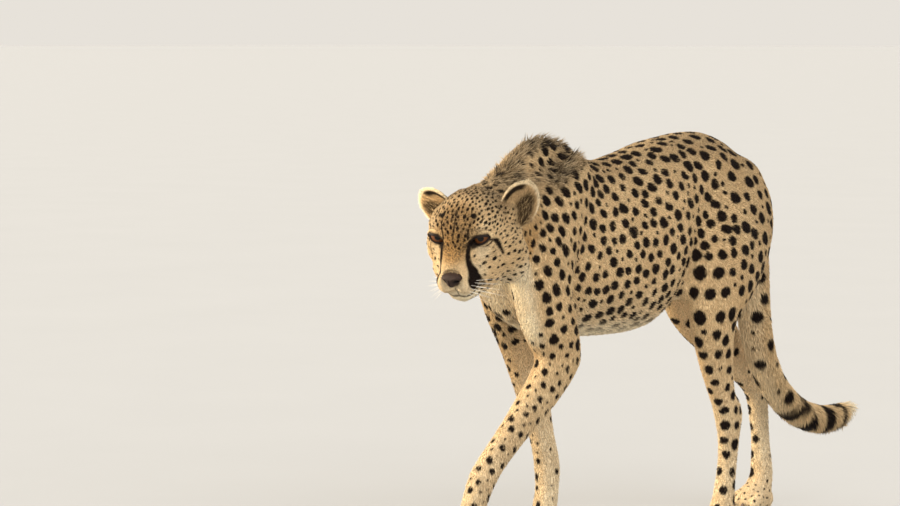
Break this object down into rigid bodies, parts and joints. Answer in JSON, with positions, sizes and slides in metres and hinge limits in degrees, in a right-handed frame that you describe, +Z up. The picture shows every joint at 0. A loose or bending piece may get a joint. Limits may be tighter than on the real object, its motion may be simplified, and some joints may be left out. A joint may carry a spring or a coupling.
{
  "type": "cheetah",
  "caption": "Life-size cheetah walking with its head held low and turned to the left, its tail hanging and curled up at the tip.",
  "frame": {"origin": "middle of the base of the box round the standing animal, on the floor", "axes": "+Z up, -Y the way the animal walks, +X to its left"},
  "size_m": [0.3044, 1.2982, 0.7407],
  "materials": {
    "coat": "short golden-tan fur with solid black spots, paler below",
    "nose": "damp, finely grained black leather",
    "eye": "wet and glossy, amber iris round a black pupil",
    "claw": "worn dark horn"
  },
  "bodies": {
    "root": {"claw_fore_left_1": "claw", "claw_fore_left_2": "claw", "claw_fore_left_3": "claw", "claw_fore_left_4": "claw", "claw_fore_right_1": "claw", "claw_fore_right_2": "claw", "claw_fore_right_3": "claw", "claw_fore_right_4": "claw", "claw_hind_left_1": "claw", "claw_hind_left_2": "claw", "claw_hind_left_3": "claw", "claw_hind_left_4": "claw", "claw_hind_right_1": "claw", "claw_hind_right_2": "claw", "claw_hind_right_3": "claw", "claw_hind_right_4": "claw", "ear_left": "coat", "ear_right": "coat", "eye_left": "eye", "eye_right": "eye", "head": "coat", "leg_fore_left": "coat", "leg_fore_right": "coat", "leg_hind_left": "coat", "leg_hind_right": "coat", "neck": "coat", "nose": "nose", "paw_fore_left": "coat", "paw_fore_right": "coat", "paw_hind_left": "coat", "paw_hind_right": "coat", "tail_middle": "coat", "tail_root": "coat", "tail_tip": "coat", "trunk": "coat"}
  },
  "joints": []
}
